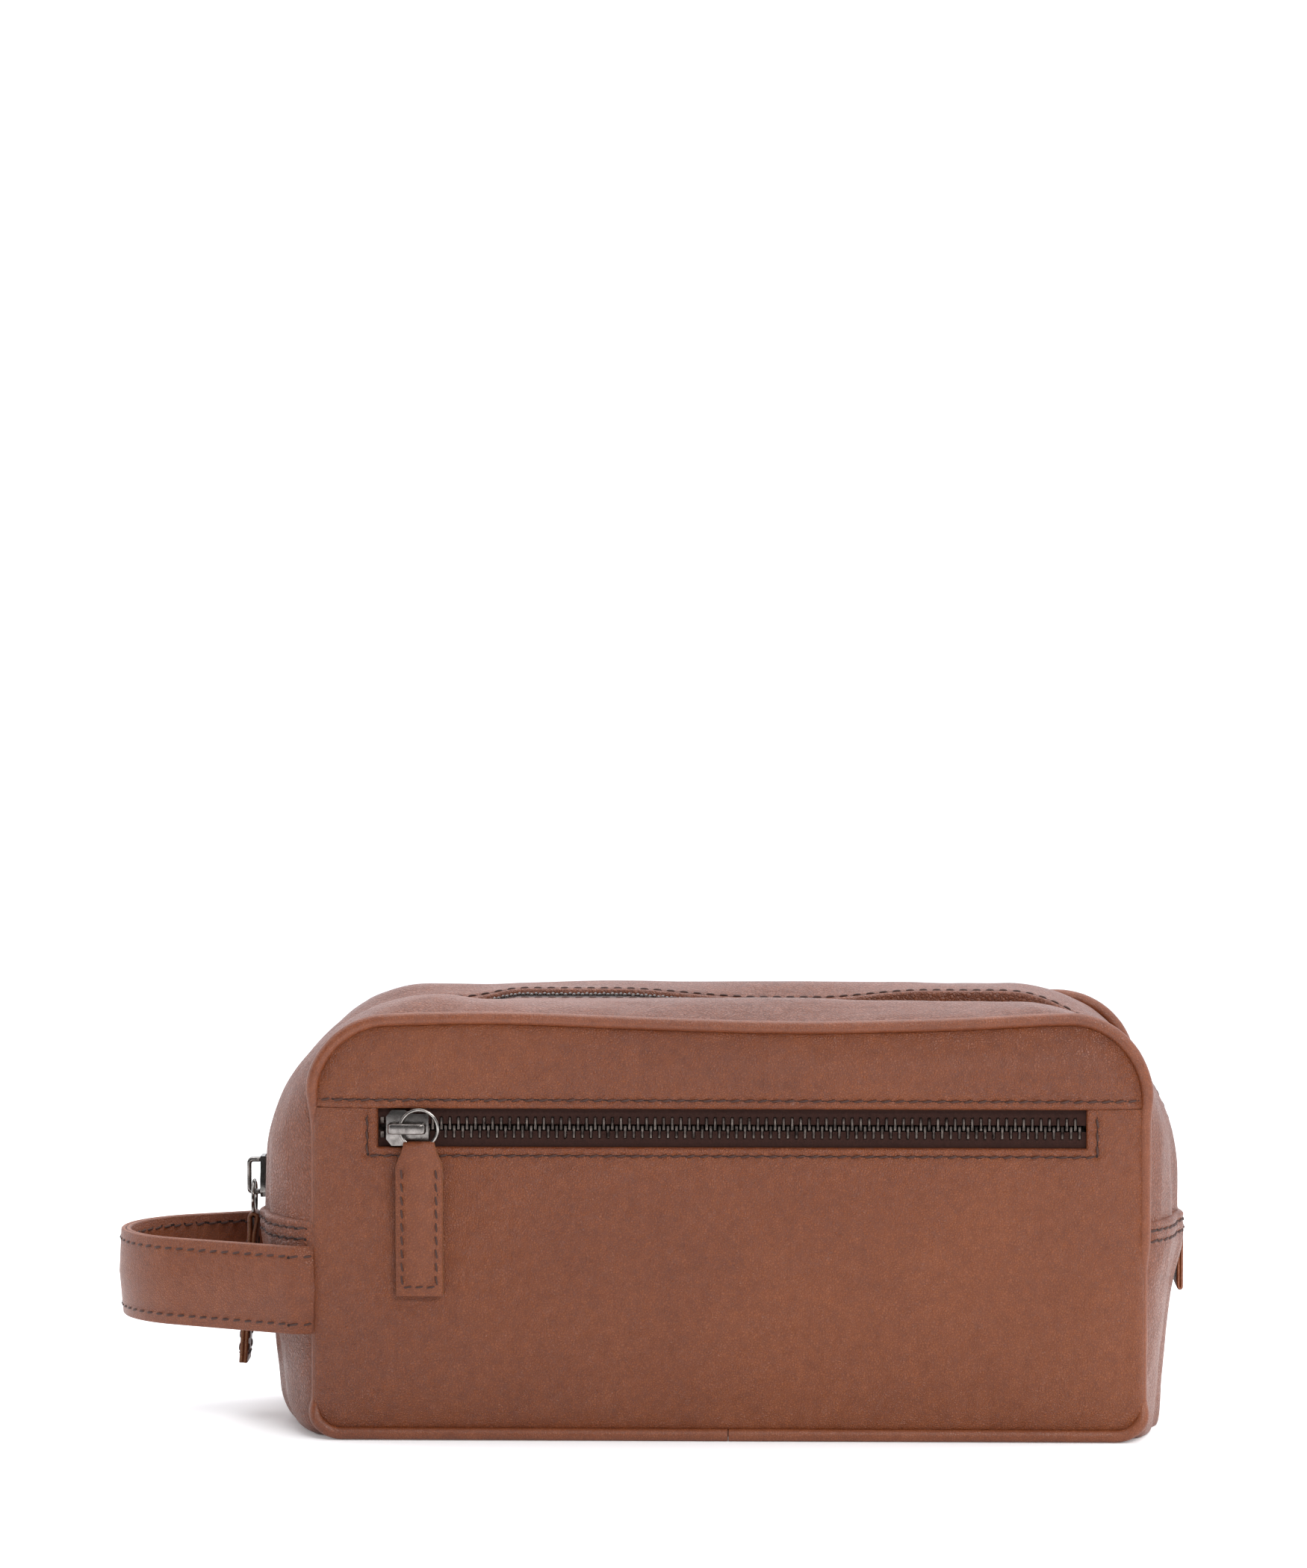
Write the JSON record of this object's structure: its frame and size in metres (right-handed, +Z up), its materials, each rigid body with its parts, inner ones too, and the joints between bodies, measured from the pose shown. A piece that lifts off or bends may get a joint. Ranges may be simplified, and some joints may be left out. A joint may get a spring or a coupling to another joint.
{
  "type": "shaving kit bag",
  "caption": "Soft leather wash bag with a zip over the top, a zipped front pocket, piped seams and a carrying loop at one end.",
  "frame": {"origin": "centre of the flat of the base, on the surface that the bag stands on", "axes": "+X along the bag, away from the carrying loop; +Y from the pocket side to the back; +Z up"},
  "size_m": [0.3303, 0.1124, 0.1315],
  "materials": {
    "leather_body": "semi-gloss pebbled brown leather",
    "leather_piping": "semi-gloss brown leather",
    "leather_puller": "semi-gloss brown leather, raw edges",
    "leather_strap": "semi-gloss brown leather",
    "zip_tape": "woven dark brown tape",
    "zip_teeth": "dark plated metal",
    "zip_hardware": "dark plated die casting",
    "lining_cloth": "plain woven lining",
    "piping_filler": "twisted cotton cord"
  },
  "bodies": {
    "bag": {"back_panel": "leather_body", "front_lower_panel": "leather_body", "front_upper_panel": "leather_body", "gusset_lower": "leather_body", "gusset_top_back": "leather_body", "gusset_top_front": "leather_body", "lining_back": "lining_cloth", "lining_front": "lining_cloth", "lining_gusset": "lining_cloth", "main_zip_stops": "zip_teeth", "main_zip_tape_back": "zip_tape", "main_zip_tape_front": "zip_tape", "main_zip_teeth_back": "zip_teeth", "main_zip_teeth_front": "zip_teeth", "piping_back": "leather_piping", "piping_cord_back": "piping_filler", "piping_cord_front": "piping_filler", "piping_front": "leather_piping", "pocket_bag": "lining_cloth", "pocket_zip_stops": "zip_teeth", "pocket_zip_tape_lower": "zip_tape", "pocket_zip_tape_upper": "zip_tape", "pocket_zip_teeth_lower": "zip_teeth", "pocket_zip_teeth_upper": "zip_teeth"},
    "main_slider": {"main_slider_body": "zip_hardware", "main_slider_crown": "zip_hardware"},
    "main_ring": {"main_pull_ring": "zip_hardware"},
    "main_pull": {"main_puller": "leather_puller"},
    "pocket_slider": {"pocket_slider_body": "zip_hardware", "pocket_slider_crown": "zip_hardware"},
    "pocket_ring": {"pocket_pull_ring": "zip_hardware"},
    "pocket_pull": {"pocket_puller": "leather_puller"},
    "handle": {"handle_inner": "leather_strap", "handle_outer": "leather_strap"},
    "tab": {"end_tab": "leather_strap"}
  },
  "joints": [
    {"name": "main_slider_travel", "type": "hinge", "parent": "bag", "child": "main_slider", "pos_m": [-0.0904, 0, 0.0745], "axis": [0, 1, 0], "range_deg": [0, 85]},
    {"name": "main_ring_swing", "type": "hinge", "parent": "main_slider", "child": "main_ring", "pos_m": [-0.14795, 0, 0.073], "axis": [0, 1, 0], "range_deg": [0, 22]},
    {"name": "main_puller_swing", "type": "hinge", "parent": "main_ring", "child": "main_pull", "pos_m": [-0.14795, 0, 0.0617], "axis": [0, 1, 0], "range_deg": [-1.5, 18]},
    {"name": "pocket_slider_travel", "type": "slide", "parent": "bag", "child": "pocket_slider", "axis": [1, 0, 0], "range_m": [0, 0.195]},
    {"name": "pocket_ring_turn", "type": "hinge", "parent": "pocket_slider", "child": "pocket_ring", "pos_m": [-0.09305, -0.05665, 0.09525], "axis": [0, -1, 0], "range_deg": [-20, 90]},
    {"name": "pocket_puller_lift", "type": "hinge", "parent": "pocket_ring", "child": "pocket_pull", "pos_m": [-0.09305, -0.05665, 0.0896], "axis": [-1, 0, 0], "range_deg": [0, 90]},
    {"name": "handle_flex", "type": "hinge", "parent": "bag", "child": "handle", "pos_m": [-0.1418, 0, 0.0453], "axis": [0, 1, 0], "range_deg": [-20, 20], "stiffness_Nm_per_rad": 0.12},
    {"name": "end_tab_lift", "type": "hinge", "parent": "bag", "child": "tab", "pos_m": [0.1393, 0, 0.066], "axis": [0, -1, 0], "range_deg": [0, 70], "stiffness_Nm_per_rad": 0.005}
  ]
}
